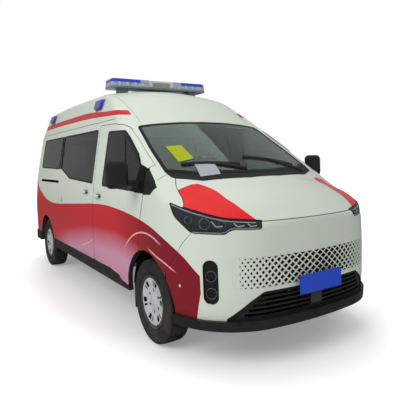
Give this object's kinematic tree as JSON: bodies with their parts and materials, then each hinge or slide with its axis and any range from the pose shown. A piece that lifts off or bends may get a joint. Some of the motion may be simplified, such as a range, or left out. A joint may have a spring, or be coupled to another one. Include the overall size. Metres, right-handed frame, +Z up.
{
  "type": "high-roof panel van ambulance",
  "caption": "High-roof ambulance van on four wheels with steered front wheels, hinged doors and bonnet, roof light bar, stretcher and cupboards inside.",
  "frame": {"origin": "on the road, at the middle of the bounding box", "axes": "+X forward, +Y to the vehicle's left, +Z up"},
  "size_m": [5.351, 2.5308, 2.5099],
  "materials": {
    "body_white": "semi-gloss white enamel",
    "black_plastic": "grained black",
    "dark_plastic": "satin dark grey",
    "cabin_white": "smooth off-white",
    "seat_fabric": "woven dark grey",
    "chassis_steel": "black chassis paint",
    "engine_metal": "cast",
    "floor_grey": "matt grey",
    "lamp_glass": "clear",
    "lamp_chrome": "bright",
    "window_glass": "tinted",
    "blue_lens": "clear blue",
    "red_lens": "clear red",
    "plate_blue": "blank blue",
    "siren_grey": "pale grey",
    "rim_silver": "silver paint",
    "stretcher_pad": "orange vinyl",
    "tyre": "black rubber"
  },
  "bodies": {
    "vehicle": {"arch_liners": "black_plastic", "bumper_lip": "dark_plastic", "cab_seats": "seat_fabric", "chassis_frame": "chassis_steel", "cowl_and_sails": "black_plastic", "cupboards_and_bench": "cabin_white", "dashboard": "dark_plastic", "diamond_grille": "body_white", "engine": "engine_metal", "floor_pan": "floor_grey", "fog_lamps": "lamp_glass", "fog_trays": "dark_plastic", "front_bumper": "body_white", "front_suspension": "chassis_steel", "front_wings": "body_white", "headlamp_housings": "lamp_chrome", "headlamp_lenses": "lamp_glass", "high_roof": "body_white", "light_bar_base": "black_plastic", "light_bar_lenses": "blue_lens", "lower_intake": "dark_plastic", "number_plate": "plate_blue", "partition": "cabin_white", "rear_axle": "chassis_steel", "rear_bumper": "black_plastic", "roof_lamps": "blue_lens", "side_panel_left": "body_white", "side_panel_right": "body_white", "side_windows": "window_glass", "sills_and_flaps": "black_plastic", "siren": "siren_grey", "sliding_door": "body_white", "stretcher": "stretcher_pad", "tail_lamps": "red_lens", "windscreen": "window_glass", "wipers": "black_plastic"},
    "bonnet": {"bonnet": "body_white"},
    "door_front_right": {"front_door_right": "body_white", "front_glass_right": "window_glass", "mirror_right": "black_plastic"},
    "door_front_left": {"front_door_left": "body_white", "front_glass_left": "window_glass", "mirror_left": "black_plastic"},
    "door_rear_right": {"rear_door_right": "body_white", "rear_glass_right": "window_glass"},
    "door_rear_left": {"rear_door_left": "body_white", "rear_glass_left": "window_glass"},
    "steer_right": {"knuckle_right": "chassis_steel"},
    "steer_left": {"knuckle_left": "chassis_steel"},
    "steering": {"steering_wheel": "dark_plastic"},
    "wheel_front_right": {"rim_front_right": "rim_silver", "tyre_front_right": "tyre"},
    "wheel_front_left": {"rim_front_left": "rim_silver", "tyre_front_left": "tyre"},
    "wheel_rear_right": {"rim_rear_right": "rim_silver", "tyre_rear_right": "tyre"},
    "wheel_rear_left": {"rim_rear_left": "rim_silver", "tyre_rear_left": "tyre"}
  },
  "joints": [
    {"name": "bonnet_hinge", "type": "hinge", "parent": "vehicle", "child": "bonnet", "pos_m": [1.822, 0, 1.372], "axis": [0, -1, 0], "range_deg": [0, 50]},
    {"name": "door_front_right_hinge", "type": "hinge", "parent": "vehicle", "child": "door_front_right", "pos_m": [1.602, -0.97, 1], "axis": [0, 0, 1], "range_deg": [0, 65]},
    {"name": "door_front_left_hinge", "type": "hinge", "parent": "vehicle", "child": "door_front_left", "pos_m": [1.602, 0.97, 1], "axis": [0, 0, -1], "range_deg": [0, 65]},
    {"name": "door_rear_right_hinge", "type": "hinge", "parent": "vehicle", "child": "door_rear_right", "pos_m": [-2.613, -0.806, 1.2], "axis": [0, 0, 1], "range_deg": [0, 180]},
    {"name": "door_rear_left_hinge", "type": "hinge", "parent": "vehicle", "child": "door_rear_left", "pos_m": [-2.613, 0.806, 1.2], "axis": [0, 0, -1], "range_deg": [0, 180]},
    {"name": "steer_left_kingpin", "type": "hinge", "parent": "vehicle", "child": "steer_left", "pos_m": [1.672, 0.8, 0.348], "axis": [0, 0, 1], "range_deg": [-33, 33]},
    {"name": "steer_right_kingpin", "type": "hinge", "parent": "vehicle", "child": "steer_right", "pos_m": [1.672, -0.8, 0.348], "axis": [0, 0, 1], "range_deg": [-33.5, 33.5]},
    {"name": "steering_column", "type": "hinge", "parent": "vehicle", "child": "steering", "pos_m": [1.01, 0.43, 1.15], "axis": [-0.8192, 0, 0.5736], "range_deg": [-500, 500]},
    {"name": "wheel_front_right_spin", "type": "hinge", "parent": "steer_right", "child": "wheel_front_right", "pos_m": [1.672, -0.856, 0.348], "axis": [0, 1, 0], "continuous": true},
    {"name": "wheel_front_left_spin", "type": "hinge", "parent": "steer_left", "child": "wheel_front_left", "pos_m": [1.672, 0.856, 0.348], "axis": [0, 1, 0], "continuous": true},
    {"name": "wheel_rear_right_spin", "type": "hinge", "parent": "vehicle", "child": "wheel_rear_right", "pos_m": [-1.873, -0.856, 0.348], "axis": [0, 1, 0], "continuous": true},
    {"name": "wheel_rear_left_spin", "type": "hinge", "parent": "vehicle", "child": "wheel_rear_left", "pos_m": [-1.873, 0.856, 0.348], "axis": [0, 1, 0], "continuous": true}
  ],
  "couplings": [
    {"joint": "steer_right_kingpin", "follows": "steer_left_kingpin", "ratio": 1},
    {"joint": "steering_column", "follows": "steer_left_kingpin", "ratio": 15}
  ]
}
